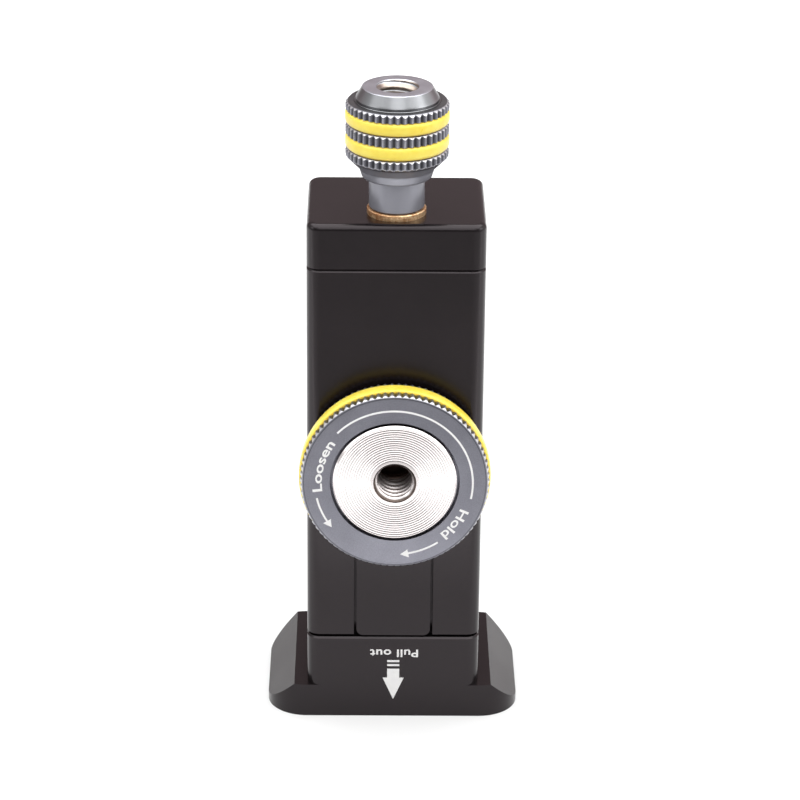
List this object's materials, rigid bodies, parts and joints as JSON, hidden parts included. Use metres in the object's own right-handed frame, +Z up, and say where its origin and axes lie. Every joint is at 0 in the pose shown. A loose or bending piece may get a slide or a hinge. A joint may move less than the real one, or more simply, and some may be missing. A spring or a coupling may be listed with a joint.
{
  "type": "phone clamp for a tripod",
  "caption": "Slim upright phone clamp with a spring-loaded sliding jaw, a round lock wheel around a steel tripod socket, a dovetail foot and a free-turning threaded knob on top.",
  "frame": {"origin": "underside of the foot, under the axis of the top knob", "axes": "+Z up along the housing, -Y to the front where the lock wheel is, +X to the right seen from the front"},
  "size_m": [0.0382, 0.0305, 0.0991],
  "materials": {
    "black_anodised": "satin",
    "grey_anodised": "satin",
    "bright_steel": "brushed",
    "silver_insert": "satin",
    "dark_steel": "satin",
    "spring_steel": "polished",
    "brass": "matte",
    "yellow_rubber": "satin",
    "black_rubber": "matte",
    "white_polymer": "matte"
  },
  "bodies": {
    "foot": {"lower_jaw": "black_anodised", "jaw_rail": "black_anodised", "jaw_screws": "dark_steel", "lower_jaw_pad": "black_rubber", "return_spring_left": "spring_steel", "return_spring_right": "spring_steel"},
    "holder": {"housing": "black_anodised", "top_jaw": "black_anodised", "top_jaw_pad": "black_rubber", "back_pad": "black_rubber", "top_jaw_screws": "dark_steel", "spring_seat_pins": "dark_steel", "travel_stop_pin": "dark_steel", "tripod_socket": "bright_steel", "socket_nut": "dark_steel", "thrust_washer": "white_polymer", "knob_bush": "brass"},
    "wheel": {"lock_wheel": "grey_anodised", "lock_wheel_ring": "yellow_rubber"},
    "brakes": {"brake_pin_left": "brass", "brake_pin_right": "brass"},
    "spinner": {"knob": "grey_anodised", "knob_ring_lower": "yellow_rubber", "knob_ring_upper": "yellow_rubber", "threaded_insert": "silver_insert", "knob_washer": "dark_steel", "knob_clip": "dark_steel"}
  },
  "joints": [
    {"name": "jaw_slide", "type": "slide", "parent": "foot", "child": "holder", "axis": [0, 0, 1], "range_m": [0, 0.028], "stiffness_N_per_m": 300, "springref_m": -0.01, "deforming": ["return_spring_left", "return_spring_right"]},
    {"name": "wheel_turn", "type": "hinge", "parent": "holder", "child": "wheel", "pos_m": [0, -0.0058, 0.0421], "axis": [0, 1, 0], "range_deg": [0, 90]},
    {"name": "brake_press", "type": "slide", "parent": "holder", "child": "brakes", "axis": [0, 1, 0], "range_m": [0, 0.00028]},
    {"name": "knob_spin", "type": "hinge", "parent": "holder", "child": "spinner", "pos_m": [0, 0, 0.0809], "axis": [0, 0, 1], "continuous": true}
  ],
  "couplings": [
    {"joint": "brake_press", "follows": "wheel_turn", "m_per_rad": 0.000178}
  ]
}
